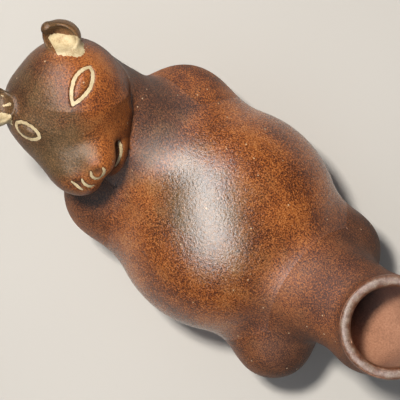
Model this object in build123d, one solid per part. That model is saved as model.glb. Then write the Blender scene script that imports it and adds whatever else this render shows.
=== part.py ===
"""Animal-shaped askos: a hand-built, burnished earthenware pouring vessel, as the pieces its maker luted together.

Millimetres, +Z up. The body runs along X, with the head at -X and the spout at +X, and it stands on Z = 0.
Left and right of the legs are the animal's own. The head is turned back over the left shoulder, and left and right
of the face are the animal's own as the face looks, so its left ear and eye lie toward +Y.
"""
import os
from math import asin, cos, degrees, radians, sin, sqrt

from build123d import *

# Chamber, an oblate globe of two halves with a level seam
CHAMBER_RADIUS = 68.0
CHAMBER_HALF_HEIGHT = 60.0
SEAM_HEIGHT = 70.0
WALL = 6.0

# Legs, hollow bulbs that taper to a small flat foot. Azimuths are in degrees from +X.
FRONT_BULB_RADIUS = 30.0
REAR_BULB_RADIUS = 25.0
BULB_WALL = 6.0
BULB_DROP = 6.0
FOOT_RADIUS = 17.0
FOOT_FLAT_RADIUS = 13.0
FOOT_SOLE = 9.0
VENT_RADIUS = 3.0
FRONT_RIGHT_AZIMUTH = 154.5
FRONT_RIGHT_STAND_OUT = 0.0
FRONT_LEFT_AZIMUTH = 210.0
FRONT_LEFT_STAND_OUT = 1.5
REAR_RIGHT_AZIMUTH = 27.5
REAR_RIGHT_STAND_OUT = 3.0
REAR_LEFT_AZIMUTH = -25.0
REAR_LEFT_STAND_OUT = 8.5

# Neck, a hollow tube from inside the chamber's wall to the underside of the skull
NECK_SINK = 18.0
NECK_SIDE = 6.0
NECK_RISE = 4.0
NECK_REACH = 66.0
NECK_DRIFT = 8.0
NECK_CLIMB = 44.0
NECK_ROOT_RADIUS = 34.0
NECK_TOP_RADIUS = 24.0
NECK_WALL = 7.0

# Head, a skull of two balls side by side and a tapering muzzle. Offsets are from the neck's top, then from the skull.
SKULL_OFFSET = Vector(1.0, -12.5, 19.0)
SKULL_RADIUS = 27.5
SKULL_SPREAD = 5.5
CHEEK_OFFSET = Vector(7.0, -1.0, -3.0)
CHEEK_RADIUS = 28.0
NOSE_OFFSET = Vector(31.0, -16.5, -3.0)
NOSE_RADIUS = 19.5
HEAD_WALL = 6.0

# Jowls, a bulge along each side of the muzzle. Offsets are from the skull.
LEFT_JOWL_BACK_OFFSET = Vector(20.0, 9.5, -7.0)
LEFT_JOWL_BACK_RADIUS = 18.5
LEFT_JOWL_FRONT_OFFSET = Vector(25.0, -1.0, -4.0)
LEFT_JOWL_FRONT_RADIUS = 17.0
RIGHT_JOWL_BACK_OFFSET = Vector(13.0, -16.5, -7.0)
RIGHT_JOWL_BACK_RADIUS = 16.5
RIGHT_JOWL_FRONT_OFFSET = Vector(26.5, -18.5, -5.0)
RIGHT_JOWL_FRONT_RADIUS = 16.0

# Lower jaw, a chin under the muzzle with an open slit along the lips
JAW_ROOT_OFFSET = Vector(13.0, -1.0, -14.0)
JAW_ROOT_RADIUS = 22.0
CHIN_OFFSET = Vector(32.0, -9.5, -16.0)
CHIN_RADIUS = 19.5
SLIT_WIDTH = 1.6
SLIT_DEPTH = 4.0

# Ears, scooped flaps. The offsets are those of the left ear from the skull's centre, mirrored for the right ear.
EAR_ROOT_OFFSET = Vector(-17.0, 23.5, 12.0)
EAR_ROOT_RADIUS = 11.0
EAR_TIP_OFFSET = Vector(-23.5, 28.0, 22.0)
EAR_TIP_RADIUS = 8.0
SCOOP_SHIFT = Vector(4.2, -0.8, 3.2)
SCOOP_RIM = 2.6
LINING = 0.8

# Cream lines, let into grooves of one depth
GROOVE_DEPTH = 1.2
EYE_HALF_LENGTH = 11.5
EYE_HALF_WIDTH = 5.5
EYE_LINE_WIDTH = 2.0
EYE_LEFT_OFFSET = (7.0, 8.0)
EYE_LEFT_LENGTHWISE = Vector(0.33, -0.94, 0.0)
EYE_RIGHT_OFFSET = (2.0, -18.5)
EYE_RIGHT_LENGTHWISE = Vector(0.99, 0.12, 0.0)
NOSTRIL_RADIUS = 3.8
NOSTRIL_LINE_WIDTH = 1.4
NOSTRIL_SWEEP = 200.0
NOSTRIL_LEFT_OFFSET = (13.5, 1.0)
NOSTRIL_LEFT_OPENS = Vector(-0.65, 0.76, 0.0)
NOSTRIL_RIGHT_OFFSET = (10.5, -9.5)
NOSTRIL_RIGHT_OPENS = Vector(-0.99, -0.16, 0.0)
LIP_LINE_WIDTH = 1.5
LIP_LINE_FORWARD = 1.0

# Spout, a tube that climbs from the rump into an upright collar, under a level mouth with a rounded lip.
# The collar ends below in a round knuckle, and the flank is a fuller side of the tube. Drops are from the mouth.
SPOUT_AZIMUTH = 9.8
SPOUT_REACH = 40.5
MOUTH_RISE = 70.0
BORE_RADIUS = 22.5
SPOUT_WALL = 6.0
KNUCKLE_DROP = 14.0
TUBE_END_DROP = 17.5
TUBE_END_RADIUS = 26.0
FLANK_OFFSET = Vector(-4.0, -5.0, -30.0)
FLANK_RADIUS = 28.5
SPOUT_ROOT_SINK = 24.0
SPOUT_ROOT_RISE = 4.0
SPOUT_ROOT_RADIUS = 34.0
SPOUT_ROOT_DRIFT = 5.0
LIP_HEIGHT = 7.0
LIP_OVERHANG = 1.0

UP = Vector(0, 0, 1)
SIDEWAYS = Vector(0, 1, 0)
QUARTER_PULL = 4 / 3 * (sqrt(2) - 1)


def turned(radial_edges, place):
    """Solid of revolution: the closed profile has radius as x and height as y, and turns about the place's z."""
    profile = Plane.XZ * make_face(radial_edges)
    return place * revolve(profile, Axis.Z)


def flattened_ball(centre, radius, half_height):
    """Upright oval turned about its short axis, each quarter of the oval being one curve."""
    across = radius * QUARTER_PULL
    along = half_height * QUARTER_PULL
    top = Bezier((radius, 0), (radius, along), (across, half_height), (0, half_height))
    bottom = Bezier((0, -half_height), (across, -half_height), (radius, -along), (radius, 0))
    return turned([bottom, top, Line(top @ 1, bottom @ 0)], Plane(centre))


def round_cone(start, start_radius, end, end_radius):
    """Two balls and the cone that touches both."""
    length = (end - start).length
    lean = asin((start_radius - end_radius) / length)
    low_arc = CenterArc((0, 0), start_radius, -90, 90 + degrees(lean))
    high_arc = CenterArc((0, length), end_radius, degrees(lean), 90 - degrees(lean))
    side = Line(low_arc @ 1, high_arc @ 0)
    axis = Line(high_arc @ 1, low_arc @ 0)
    return turned([low_arc, side, high_arc, axis], Plane(start, z_dir=end - start))


def drum(base, radius, height):
    """Upright cylinder on a base point."""
    return Pos(base) * Cylinder(radius, height, align=(Align.CENTER, Align.CENTER, Align.MIN))


def polar(distance, azimuth, height):
    """Point at a distance and azimuth from the chamber's upright axis."""
    return Vector(distance * cos(radians(azimuth)), distance * sin(radians(azimuth)), height)


# The places of the main pieces
chamber_centre = Vector(0, 0, SEAM_HEIGHT)
neck_root = Vector(-(CHAMBER_RADIUS - NECK_SINK), NECK_SIDE, SEAM_HEIGHT + NECK_RISE)
neck_top = neck_root + Vector(-NECK_REACH, -NECK_DRIFT, NECK_CLIMB)
skull = neck_top + SKULL_OFFSET
cheek = skull + CHEEK_OFFSET
nose = skull + NOSE_OFFSET
left_jowl = (skull + LEFT_JOWL_BACK_OFFSET, skull + LEFT_JOWL_FRONT_OFFSET)
right_jowl = (skull + RIGHT_JOWL_BACK_OFFSET, skull + RIGHT_JOWL_FRONT_OFFSET)
jaw_root = skull + JAW_ROOT_OFFSET
chin = skull + CHIN_OFFSET
mouth = polar(CHAMBER_RADIUS + SPOUT_REACH, SPOUT_AZIMUTH, SEAM_HEIGHT + MOUTH_RISE)
knuckle = mouth - UP * KNUCKLE_DROP
tube_end = mouth - UP * TUBE_END_DROP
spout_root = polar(CHAMBER_RADIUS - SPOUT_ROOT_SINK, SPOUT_AZIMUTH, SEAM_HEIGHT + SPOUT_ROOT_RISE)
spout_root = spout_root - Vector(0, SPOUT_ROOT_DRIFT, 0)


def chamber_globe(inset=0.0):
    return flattened_ball(chamber_centre, CHAMBER_RADIUS - inset, CHAMBER_HALF_HEIGHT - inset)


def neck_form(inset=0.0):
    return round_cone(neck_root, NECK_ROOT_RADIUS - inset, neck_top, NECK_TOP_RADIUS - inset)


def muzzle_form(inset=0.0):
    return round_cone(cheek, CHEEK_RADIUS - inset, nose, NOSE_RADIUS - inset)


def jowl_forms(inset=0.0):
    left = round_cone(left_jowl[0], LEFT_JOWL_BACK_RADIUS - inset, left_jowl[1], LEFT_JOWL_FRONT_RADIUS - inset)
    right = round_cone(
        right_jowl[0], RIGHT_JOWL_BACK_RADIUS - inset, right_jowl[1], RIGHT_JOWL_FRONT_RADIUS - inset
    )
    return left + right


def head_form(inset=0.0):
    half_spread = SIDEWAYS * SKULL_SPREAD
    radius = SKULL_RADIUS - inset
    crown = round_cone(skull - half_spread, radius, skull + half_spread, radius)
    return crown + muzzle_form(inset) + jowl_forms(inset)


def jaw_form(inset=0.0):
    return round_cone(jaw_root, JAW_ROOT_RADIUS - inset, chin, CHIN_RADIUS - inset)


def spout_form(inset=0.0, top=LIP_HEIGHT):
    """Climbing tube, its flank and the upright collar, cut level at a distance below the mouth's top."""
    radius = BORE_RADIUS + SPOUT_WALL - inset
    tube = round_cone(spout_root, SPOUT_ROOT_RADIUS - inset, tube_end, TUBE_END_RADIUS - inset)
    flank = Pos(mouth + FLANK_OFFSET) * Sphere(FLANK_RADIUS - inset)
    collar = Pos(knuckle) * Sphere(radius) + drum(knuckle, radius, KNUCKLE_DROP)
    return split(tube + flank + collar, Plane(mouth - UP * top), Keep.BOTTOM)


chamber = chamber_globe()
neck_solid = neck_form()
head_solid = head_form()
jaw_solid = jaw_form()
spout_hollow = spout_form(SPOUT_WALL, 0.0)
neck_hollow = neck_form(NECK_WALL)
nodes = {}

# Legs: a bulb at each corner, trimmed to the chamber and to the neck or spout beside it
bulb_height = SEAM_HEIGHT - BULB_DROP
foot_height = sqrt(FOOT_RADIUS**2 - FOOT_FLAT_RADIUS**2)
spout_solid = spout_form()
legs = {
    "leg_front_right": (FRONT_RIGHT_AZIMUTH, FRONT_RIGHT_STAND_OUT, FRONT_BULB_RADIUS, neck_solid),
    "leg_front_left": (FRONT_LEFT_AZIMUTH, FRONT_LEFT_STAND_OUT, FRONT_BULB_RADIUS, neck_solid),
    "leg_rear_right": (REAR_RIGHT_AZIMUTH, REAR_RIGHT_STAND_OUT, REAR_BULB_RADIUS, spout_solid),
    "leg_rear_left": (REAR_LEFT_AZIMUTH, REAR_LEFT_STAND_OUT, REAR_BULB_RADIUS, spout_solid),
}
vents = []
for name, (azimuth, stand_out, bulb_radius, beside) in legs.items():
    bulb = polar(CHAMBER_RADIUS + stand_out, azimuth, bulb_height)
    foot = polar(CHAMBER_RADIUS + stand_out, azimuth, foot_height)
    outside = round_cone(bulb, bulb_radius, foot, FOOT_RADIUS)
    hollow_foot = polar(CHAMBER_RADIUS + stand_out, azimuth, FOOT_SOLE + FOOT_RADIUS - BULB_WALL)
    hollow = round_cone(bulb, bulb_radius - BULB_WALL, hollow_foot, FOOT_RADIUS - BULB_WALL)
    leg = outside - hollow - chamber - beside
    nodes[name] = split(leg, Plane.XY, Keep.TOP)
    vent = Cylinder(VENT_RADIUS, CHAMBER_RADIUS + stand_out, align=(Align.CENTER, Align.CENTER, Align.MIN))
    vents.append(Plane(Vector(0, 0, bulb_height), z_dir=polar(1, azimuth, 0)) * vent)

# Chamber: one shell with the ways to the neck, the spout and the legs' hollows, parted at the seam
shell = chamber - chamber_globe(WALL) - neck_hollow - spout_hollow
for vent in vents:
    shell = shell - vent
seam = Plane(chamber_centre)
nodes["belly_bowl"] = split(shell, seam, Keep.BOTTOM)
nodes["back_dome"] = split(shell, seam, Keep.TOP)

# Neck, trimmed to the chamber below and to the head above
nodes["neck"] = neck_solid - neck_hollow - chamber - head_solid

# Spout tube, and the lip that sits on its rim
nodes["spout_tube"] = spout_solid - spout_hollow - chamber
lip_outer = BORE_RADIUS + SPOUT_WALL + LIP_OVERHANG
lip_roll = (lip_outer - BORE_RADIUS) / 2
lip_top = CenterArc((BORE_RADIUS + lip_roll, LIP_HEIGHT - lip_roll), lip_roll, 0, 180)
lip_sides = Polyline(lip_top @ 1, (BORE_RADIUS, 0), (lip_outer, 0), lip_top @ 0)
nodes["spout_lip"] = turned([lip_top, lip_sides], Plane(mouth - UP * LIP_HEIGHT))

# Ears: scoops trimmed to the skull, with their cream lining
mirror_plane = Plane(skull, z_dir=SIDEWAYS)
scoop_root = skull + EAR_ROOT_OFFSET + SCOOP_SHIFT
scoop_tip = skull + EAR_TIP_OFFSET + SCOOP_SHIFT
flap = round_cone(skull + EAR_ROOT_OFFSET, EAR_ROOT_RADIUS, skull + EAR_TIP_OFFSET, EAR_TIP_RADIUS)
scoop = round_cone(scoop_root, EAR_ROOT_RADIUS - SCOOP_RIM, scoop_tip, EAR_TIP_RADIUS - SCOOP_RIM)
scoop_core = round_cone(
    scoop_root, EAR_ROOT_RADIUS - SCOOP_RIM - LINING, scoop_tip, EAR_TIP_RADIUS - SCOOP_RIM - LINING
)
ear = flap - scoop - head_solid
lining = (flap & (scoop - scoop_core)) - head_solid
nodes["ear_left"] = ear
nodes["ear_right"] = mirror(ear, mirror_plane)
nodes["ear_lining_left"] = lining
nodes["ear_lining_right"] = mirror(lining, mirror_plane)


def surface_plane(centre, radius, offset, along):
    """Plane that touches the upper side of a ball, with its x along a level direction."""
    normal = Vector(*offset, sqrt(radius**2 - offset[0] ** 2 - offset[1] ** 2)) / radius
    across = normal.cross(along).normalized()
    return Plane(centre + normal * radius, x_dir=across.cross(normal), z_dir=normal)


def almond(half_length, half_width):
    """Pointed oval of two arcs."""
    tips = ((-half_length, 0), (half_length, 0))
    return make_face([ThreePointArc(tips[0], (0, y), tips[1]) for y in (half_width, -half_width)])


# Cream lines of the eyes and nostrils, each flush in a groove of the head
groove_layer = head_solid - head_form(GROOVE_DEPTH)
eye_shape = almond(EYE_HALF_LENGTH, EYE_HALF_WIDTH)
eye_shape = eye_shape - almond(EYE_HALF_LENGTH - 2 * EYE_LINE_WIDTH, EYE_HALF_WIDTH - EYE_LINE_WIDTH)
nostril_arc = CenterArc((0, 0), NOSTRIL_RADIUS, 180 - NOSTRIL_SWEEP / 2, NOSTRIL_SWEEP)
nostril_shape = trace(nostril_arc, NOSTRIL_LINE_WIDTH)
eyes = {
    "eye_line_left": (SIDEWAYS * SKULL_SPREAD, EYE_LEFT_OFFSET, EYE_LEFT_LENGTHWISE),
    "eye_line_right": (SIDEWAYS * -SKULL_SPREAD, EYE_RIGHT_OFFSET, EYE_RIGHT_LENGTHWISE),
}
nostrils = {
    "nostril_line_left": (NOSTRIL_LEFT_OFFSET, NOSTRIL_LEFT_OPENS),
    "nostril_line_right": (NOSTRIL_RIGHT_OFFSET, NOSTRIL_RIGHT_OPENS),
}
head_shell = head_solid - head_form(HEAD_WALL) - neck_hollow
for name, (aside, offset, along) in eyes.items():
    place = surface_plane(skull + aside, SKULL_RADIUS, offset, along)
    nodes[name] = extrude(place * eye_shape, HEAD_WALL, both=True) & groove_layer
    head_shell = head_shell - nodes[name]
for name, (offset, along) in nostrils.items():
    place = surface_plane(nose, NOSE_RADIUS, offset, along)
    nodes[name] = extrude(place * nostril_shape, HEAD_WALL, both=True) & groove_layer
    head_shell = head_shell - nodes[name]
nodes["head"] = head_shell

# Lower jaw: trimmed to the head and neck, with the slit along the lips and the cream line below the slit
lips = muzzle_form(-SLIT_WIDTH)
lip_line_zone = muzzle_form(-SLIT_WIDTH - LIP_LINE_WIDTH) - lips
jaw_front = Plane(chin + (chin - jaw_root).normalized() * LIP_LINE_FORWARD, z_dir=chin - jaw_root)
jaw = jaw_solid - head_solid - neck_solid - (lips & (jaw_solid - jaw_form(SLIT_DEPTH)))
lip_line = split(lip_line_zone & (jaw_solid - jaw_form(GROOVE_DEPTH)) & jaw, jaw_front, Keep.TOP)
nodes["lip_line"] = lip_line
nodes["lower_jaw"] = jaw - lip_line

# Shift the whole so that the origin is the middle of its footprint's box on the ground
box = Compound([node.solid() for node in nodes.values()]).bounding_box()
to_origin = Pos(-(box.min.X + box.max.X) / 2, -(box.min.Y + box.max.Y) / 2, -box.min.Z)
os.makedirs("parts", exist_ok=True)
for name, node in nodes.items():
    export_step(to_origin * node.solid(), f"parts/{name}.step")
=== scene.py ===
"""Looks of an animal-shaped askos in burnished earthenware.

The clay pieces of the real vessel are luted together and smoothed over, so one field of distances describes
their common skin. Each clay piece is the stretch of that skin that its own solid carries, with a wall behind
it. The cream slip lies on the skin in thin layers, and the lip is a coil made by itself.
Lengths are in millimetres until a mesh is made, and heights are above the ground.
"""
import math

import bpy
import numpy as np
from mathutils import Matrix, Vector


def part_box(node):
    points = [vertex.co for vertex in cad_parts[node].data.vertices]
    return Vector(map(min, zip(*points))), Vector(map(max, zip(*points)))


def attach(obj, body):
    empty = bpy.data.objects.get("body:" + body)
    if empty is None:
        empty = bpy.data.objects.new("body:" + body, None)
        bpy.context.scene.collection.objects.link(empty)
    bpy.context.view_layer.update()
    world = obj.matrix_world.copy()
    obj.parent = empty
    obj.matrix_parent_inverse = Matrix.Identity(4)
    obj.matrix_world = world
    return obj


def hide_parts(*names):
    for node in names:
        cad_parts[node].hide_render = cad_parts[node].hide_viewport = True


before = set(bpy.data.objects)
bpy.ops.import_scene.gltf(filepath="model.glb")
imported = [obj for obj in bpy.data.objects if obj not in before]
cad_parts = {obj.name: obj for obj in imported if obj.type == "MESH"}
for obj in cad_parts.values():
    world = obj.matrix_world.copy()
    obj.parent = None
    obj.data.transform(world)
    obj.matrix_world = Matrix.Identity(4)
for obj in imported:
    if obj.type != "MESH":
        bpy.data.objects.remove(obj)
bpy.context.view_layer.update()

import openvdb

MM = 0.001

# Least divisors, against division by zero
EGG_GUARD = 1e-9
STEEP_GUARD = 1e-6
NORMAL_GUARD = 1e-12


def vec(*numbers):
    return np.array(numbers, float)


def unit(direction):
    return direction / np.linalg.norm(direction)


def unit_rows(rows):
    return rows / np.maximum(np.linalg.norm(rows, axis=1, keepdims=True), NORMAL_GUARD)


# The camera looks straight down. Its picture is turned against the model's axes.
PHOTO_SIDE = 400
CAMERA_HEIGHT = 988.0
CAMERA_TURN = math.radians(43.0)
CAMERA_PIXELS = 1533.0
CAMERA_FROM_AXIS = vec(-19.0, -2.3)
SENSOR_WIDTH = 36.0

# Sizes of the forms, as in the solids
SPOUT_REACH = 108.5
SPOUT_AZIMUTH = 9.8
MOUTH_HEIGHT = 140.0
LIP_SEAT = 133.0
KNUCKLE_HEIGHT = 126.0
TUBE_END_HEIGHT = 122.5
TUBE_END_RADIUS = 26.0
BORE_RADIUS = 22.5
LIP_RADIUS = 29.5
LIP_LAP = 0.6
LIP_STAND = 1.5
LIP_SQUARENESS = 0.8
LIP_FOOT = 2.6
SPOUT_RADIUS = 28.5
SPOUT_ROOT_RADIUS = 34.0
SEAM_HEIGHT = 70.0
BULB_HEIGHT = 64.0
FOOT_RADIUS = 17.0
FOOT_FLAT_RADIUS = 13.0
GLOBE_RADII = vec(67.7, 67.7, 60.0)

# Wall of each piece, and the spacing of the points that its skin is taken from
WALL = 5.5
SPOUT_WALL = 5.0
THIN_WALL = 2.0
BODY_STEP = 1.8
HEAD_STEP = 0.8
PAINT_STEP = 0.45


def polar(distance, azimuth, height):
    angle = math.radians(azimuth)
    return vec(distance * math.cos(angle), distance * math.sin(angle), height)


lip_low, lip_high = (np.array(corner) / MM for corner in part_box("spout_lip"))
lip_middle = (lip_low + lip_high) / 2
axis = lip_middle - polar(SPOUT_REACH, SPOUT_AZIMUTH, lip_middle[2])


def at(x, y, z):
    """A point given from the upright axis of the globe."""
    return vec(x, y, z) + axis


globe_middle = at(0, 0, SEAM_HEIGHT)
mouth = axis + polar(SPOUT_REACH, SPOUT_AZIMUTH, MOUTH_HEIGHT)
knuckle = vec(mouth[0], mouth[1], KNUCKLE_HEIGHT)
tube_end = vec(mouth[0], mouth[1], TUBE_END_HEIGHT)
spout_flank = mouth + vec(-4, -5, -30)
spout_root = at(43.4, 2.5, 74)
neck_root, NECK_ROOT_RADIUS = at(-50, 6, 74), 34.0
neck_top, NECK_TOP_RADIUS = at(-116, -2, 118), 24.0
skull = at(-115, -14.5, 137)
skull_ends = [skull + vec(0, -5.5, -4.0), skull + vec(0, 5.5, 0.5)]
SKULL_RADIUS = 27.5
cheek, CHEEK_RADIUS = at(-104, -9.5, 137.3), 27.2
nose, NOSE_RADIUS = at(-84, -31, 123.5), 19.5
jaw_root, JAW_ROOT_RADIUS = at(-102, -15.5, 123), 22.0
chin, CHIN_RADIUS = at(-83, -24, 121), 20.0
jowls = [
    (at(-95, -5, 130), 18.5, at(-90, -15.5, 133), 15.5),
    (at(-102, -31, 130), 16.5, at(-88.5, -33, 132), 16.0),
]
jaw_bulge, JAW_BULGE_RADIUS = at(-88, -11.5, 123), 16.0
wings = [(at(-76, -24.5, 141.5), 10.0), (at(-78, -37, 132), 11.0)]

# The way the face looks, the animal's own left, and the end of the muzzle on plan
face_way = unit(vec(0.874, -0.485, 0))
own_left = vec(0.485, 0.874, 0)
muzzle_end = at(-71.5, -39.8, 0)

# Corners of the mouth, behind the muzzle's end and to each side, and the slant of the lips' border there
MOUTH_CORNER_BACK = 17.2
MOUTH_CORNER_ASIDE = 25.0
MOUTH_SLANT_ALONG = 0.805
MOUTH_SLANT_ASIDE = 0.593
LIPS_RUN_IN = 9.0

# Where the head hangs free of the trunk and where it has grown into it, behind the muzzle's end
HEAD_FREE = 34.0
HEAD_GROWN = 56.0
CREASE = 1.0

# Swells that the hand leaves on the skin
SKIN_SWELL = 0.22
SKIN_SWELL_LENGTH = 46.0

# name: azimuth, distance from the axis, radius of the bulb
LEGS = {
    "leg_front_right": (154.5, 68.0, 30.0),
    "leg_front_left": (210.0, 69.5, 30.0),
    "leg_rear_right": (27.5, 71.0, 25.0),
    "leg_rear_left": (-25.0, 76.5, 25.0),
}

# An ear is a cup: an egg with a scoop taken out towards the face. The right ear mirrors the left.
EAR_MIDDLE = vec(-19.9, 26.2, 16.0)
EAR_RADII = vec(10.7, 9.2, 12.0)
EAR_ROOT_RADIUS = 6.0
EAR_TIP, EAR_TIP_RADIUS = vec(-7.4, 2.2, 8.5), 3.4
EAR_ALONG = unit(vec(0.83, 0.56, 0))
EAR_OUT = unit(vec(-0.56, 0.83, 0))
SCOOP_OFFSET = vec(-0.6, -3.4, 6.5)
SCOOP_RADII = vec(9.4, 8.0, 9.0)

# Blends between neighbouring forms
BLEND_LEG = 20.0
BLEND_SPOUT = 16.0
BLEND_COLLAR = 6.0
BLEND_FLANK = 4.0
BLEND_NECK = 22.0
BLEND_HEAD = 16.0
BLEND_MUZZLE = 10.0
BLEND_JOWL = 8.0
BLEND_WING = 8.0
BLEND_EAR = 5.0
BLEND_CHEEK = 10.0
BLEND_LIPS = 2.0
BLEND_RIM = 2.0


def smooth_union(a, b, reach):
    share = np.clip(0.5 + 0.5 * (b - a) / reach, 0, 1)
    return b * (1 - share) + a * share - reach * share * (1 - share)


def smooth_cut(a, b, reach):
    """The form a without the form b."""
    return -smooth_union(-a, b, reach)


def smooth_step(low, high, value):
    share = np.clip((value - low) / (high - low), 0, 1)
    return share * share * (3 - 2 * share)


def egg(p, radii):
    """Distance to an ellipsoid around the origin, near its surface."""
    near = np.linalg.norm(p / radii, axis=-1)
    far = np.linalg.norm(p / (radii * radii), axis=-1)
    return near * (near - 1) / np.maximum(far, EGG_GUARD)


def round_cone(p, start, start_radius, end, end_radius):
    """Distance to the hull of two balls."""
    length = np.linalg.norm(end - start)
    along = (end - start) / length
    from_start = p - start
    y = from_start @ along
    x = np.linalg.norm(from_start - y[..., None] * along, axis=-1)
    slope = (start_radius - end_radius) / length
    spot = np.clip(y + x * slope / math.sqrt(1 - slope * slope), 0, length)
    return np.hypot(x, y - spot) - (start_radius - spot * slope)


WAVE_COUNT = 5
WAVE_SPREAD = (0.7, 1.4)
WAVE_SCALE = 3


def waves(p, seed, length):
    """A smooth wavering between about -1 and 1, with crests about the given length apart."""
    draw = np.random.default_rng(seed)
    total = 0.0
    for _ in range(WAVE_COUNT):
        direction = draw.normal(size=3)
        direction *= draw.uniform(*WAVE_SPREAD) / np.linalg.norm(direction)
        total = total + np.sin(p @ direction * (2 * math.pi / length) + draw.uniform(0, 2 * math.pi))
    return total / WAVE_SCALE


def globe_form(p):
    return egg(p - globe_middle, GLOBE_RADII)


def leg_form(p, name):
    azimuth, distance, radius = LEGS[name]
    foot_height = math.sqrt(FOOT_RADIUS ** 2 - FOOT_FLAT_RADIUS ** 2)
    bulb = axis + polar(distance, azimuth, BULB_HEIGHT)
    foot = axis + polar(distance, azimuth, foot_height)
    return round_cone(p, bulb, radius, foot, FOOT_RADIUS)


def neck_form(p):
    return round_cone(p, neck_root, NECK_ROOT_RADIUS, neck_top, NECK_TOP_RADIUS)


def spout_form(p):
    """A tube that climbs to an upright collar with a round end below."""
    tube = round_cone(p, spout_root, SPOUT_ROOT_RADIUS, tube_end, TUBE_END_RADIUS)
    collar = round_cone(p, knuckle, SPOUT_RADIUS, mouth + vec(0, 0, SPOUT_RADIUS), SPOUT_RADIUS)
    flank = np.linalg.norm(p - spout_flank, axis=-1) - SPOUT_RADIUS
    return smooth_union(smooth_union(tube, collar, BLEND_COLLAR), flank, BLEND_FLANK)


def muzzle_form(p):
    form = round_cone(p, skull_ends[0], SKULL_RADIUS, skull_ends[1], SKULL_RADIUS)
    form = smooth_union(form, round_cone(p, cheek, CHEEK_RADIUS, nose, NOSE_RADIUS), BLEND_MUZZLE)
    for jowl in jowls:
        form = smooth_union(form, round_cone(p, *jowl), BLEND_JOWL)
    for middle, radius in wings:
        form = smooth_union(form, np.linalg.norm(p - middle, axis=-1) - radius, BLEND_WING)
    return form


def jaw_form(p):
    form = round_cone(p, jaw_root, JAW_ROOT_RADIUS, chin, CHIN_RADIUS)
    return smooth_union(form, np.linalg.norm(p - jaw_bulge, axis=-1) - JAW_BULGE_RADIUS, BLEND_JOWL)


def ear_place(p, side):
    """Points as an ear sees them: along it, outwards and up. Side is 1 for the left ear, -1 for the right."""
    from_skull = (p - skull) * vec(1, side, 1) - EAR_MIDDLE
    return np.stack([from_skull @ EAR_ALONG, from_skull @ EAR_OUT, from_skull[..., 2]], -1)


def ear_form(p, side):
    place = ear_place(p, side)
    tip = round_cone(place, vec(0, 0, 0), EAR_ROOT_RADIUS, EAR_TIP, EAR_TIP_RADIUS)
    flap = smooth_union(egg(place, EAR_RADII), tip, BLEND_EAR)
    return smooth_cut(flap, egg(place - SCOOP_OFFSET, SCOOP_RADII), BLEND_RIM)


def past_mouth_corner(p):
    """How far a point lies before the corners of the mouth, along the lips."""
    from_end = p - muzzle_end
    along = from_end @ face_way + MOUTH_CORNER_BACK
    aside = MOUTH_CORNER_ASIDE - np.abs(from_end @ own_left)
    return MOUTH_SLANT_ALONG * along + MOUTH_SLANT_ASIDE * aside


def trunk_form(p):
    """Chamber, spout, neck and legs, smoothed over."""
    form = smooth_union(globe_form(p), spout_form(p), BLEND_SPOUT)
    form = smooth_union(form, neck_form(p), BLEND_NECK)
    for name in LEGS:
        form = smooth_union(form, leg_form(p, name), BLEND_LEG)
    return form


def head_form(p):
    """Muzzle and jaw, which run into each other behind the corners of the mouth."""
    lips = smooth_step(-LIPS_RUN_IN, 0.0, past_mouth_corner(p))
    return smooth_union(muzzle_form(p), jaw_form(p), BLEND_CHEEK + lips * (BLEND_LIPS - BLEND_CHEEK))


def bare_skin(p):
    """The whole outside before the face is cut in. It has no floor to the spout's mouth."""
    behind = smooth_step(-HEAD_FREE, -HEAD_GROWN, (p - muzzle_end) @ face_way)
    form = smooth_union(trunk_form(p), head_form(p), CREASE + BLEND_HEAD * behind)
    for side in (1, -1):
        form = smooth_union(form, ear_form(p, side), BLEND_EAR)
    form = form + SKIN_SWELL * waves(p, seed=3, length=SKIN_SWELL_LENGTH)
    return np.maximum(form, -p[..., 2])


SLOPE_REACH = 0.04


def slope(field, p):
    """Gradient of a field."""
    steps = SLOPE_REACH * np.eye(3)
    return np.stack([field(p + step) - field(p - step) for step in steps], -1) / (2 * SLOPE_REACH)


picture_right = vec(math.cos(CAMERA_TURN), math.sin(CAMERA_TURN), 0)
picture_down = vec(math.sin(CAMERA_TURN), -math.cos(CAMERA_TURN), 0)
camera_place = axis + vec(*CAMERA_FROM_AXIS, CAMERA_HEIGHT)

# Steps of a look from the camera down to the skin
LOOK_START_HEIGHT = 200.0
LOOK_ROUNDS = 80
LOOK_SHARE = 0.9


def on_skin(pixels):
    """The points of the bare skin that the photograph shows at these pixels."""
    offsets = (np.array(pixels, float) - PHOTO_SIDE / 2) / CAMERA_PIXELS
    ways = unit_rows(offsets[:, :1] * picture_right + offsets[:, 1:] * picture_down - vec(0, 0, 1))
    gone = np.full((len(ways), 1), CAMERA_HEIGHT - LOOK_START_HEIGHT)
    for _ in range(LOOK_ROUNDS):
        gone += LOOK_SHARE * bare_skin(camera_place + ways * gone)[:, None]
    return camera_place + ways * gone


# Lines of the face and pits of the nostrils, as pixels of the photograph
EYE_LEFT = [(90.2, 66.9), (92.7, 71.5), (93.1, 76.4), (92.5, 81.8), (90.2, 88.3), (86.4, 93.7),
            (81.4, 98.6), (76.5, 102.5), (73.0, 104.4), (71.5, 99.0), (71.4, 93.3), (71.9, 87.5),
            (73.5, 81.4), (76.1, 75.7), (79.9, 71.5), (84.5, 68.6), (87.9, 67.4), (90.2, 66.9)]
EYE_RIGHT = [(16.4, 122.9), (20.7, 122.0), (25.7, 123.6), (30.7, 126.5), (35.2, 130.2), (38.1, 133.9),
             (39.2, 137.9), (36.1, 139.9), (31.5, 139.9), (26.5, 138.1), (22.4, 135.6), (19.1, 132.3),
             (16.8, 128.9), (15.7, 125.8), (16.4, 122.9)]
NOSTRIL_LEFT = [(90.7, 172.6), (91.3, 176.0), (93.2, 178.2), (96.2, 179.4), (99.3, 178.9), (102.3, 176.6),
                (104.4, 173.6), (104.6, 170.5), (103.4, 168.7)]
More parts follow.
